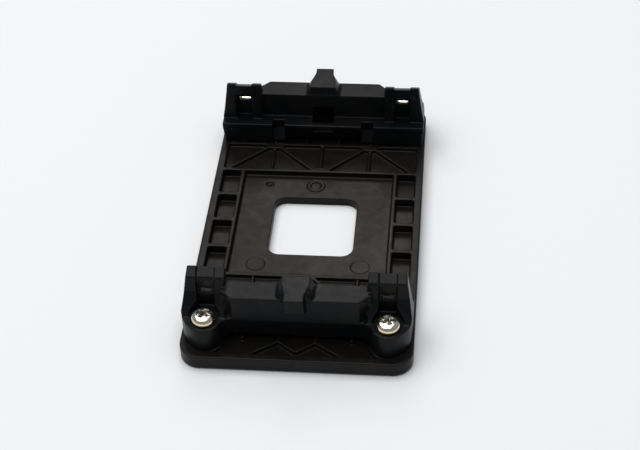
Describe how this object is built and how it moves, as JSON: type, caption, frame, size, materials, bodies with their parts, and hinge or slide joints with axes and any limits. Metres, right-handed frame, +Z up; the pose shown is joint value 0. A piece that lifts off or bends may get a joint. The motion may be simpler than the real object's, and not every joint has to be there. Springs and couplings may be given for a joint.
{
  "type": "cooler retention kit",
  "caption": "Black plastic mount for a desktop processor cooler: a ribbed rectangular backplate with an open middle and a screwed-on clip bracket at each end.",
  "frame": {"origin": "centre of the backplate's underside", "axes": "+Z up from the backplate towards the clip lugs, +Y along the backplate's length towards the rear bracket, +X across its width"},
  "size_m": [0.0616, 0.1096, 0.023],
  "materials": {
    "plate_plastic": "fine spark-eroded matte moulding, warm black",
    "bracket_plastic": "satin moulded plastic, cool black",
    "plated_screw": "bright nickel plate",
    "insert_brass": "machined, knurled"
  },
  "bodies": {
    "mount": {"backplate": "plate_plastic", "bracket_rear": "bracket_plastic", "bracket_front": "bracket_plastic", "insert_rear_left": "insert_brass", "insert_rear_right": "insert_brass", "insert_front_left": "insert_brass", "insert_front_right": "insert_brass"},
    "screw_rear_left": {"screw_rear_left": "plated_screw"},
    "screw_rear_right": {"screw_rear_right": "plated_screw"},
    "screw_front_left": {"screw_front_left": "plated_screw"},
    "screw_front_right": {"screw_front_right": "plated_screw"}
  },
  "joints": [
    {"name": "turn_rear_left", "type": "hinge", "parent": "mount", "child": "screw_rear_left", "pos_m": [-0.024, 0.048, 0.0116], "axis": [0, 0, 1], "range_deg": [0, 1430]},
    {"name": "turn_rear_right", "type": "hinge", "parent": "mount", "child": "screw_rear_right", "pos_m": [0.024, 0.048, 0.0116], "axis": [0, 0, 1], "range_deg": [0, 1430]},
    {"name": "turn_front_left", "type": "hinge", "parent": "mount", "child": "screw_front_left", "pos_m": [-0.024, -0.048, 0.0116], "axis": [0, 0, 1], "range_deg": [0, 1430]},
    {"name": "turn_front_right", "type": "hinge", "parent": "mount", "child": "screw_front_right", "pos_m": [0.024, -0.048, 0.0116], "axis": [0, 0, 1], "range_deg": [0, 1430]}
  ]
}
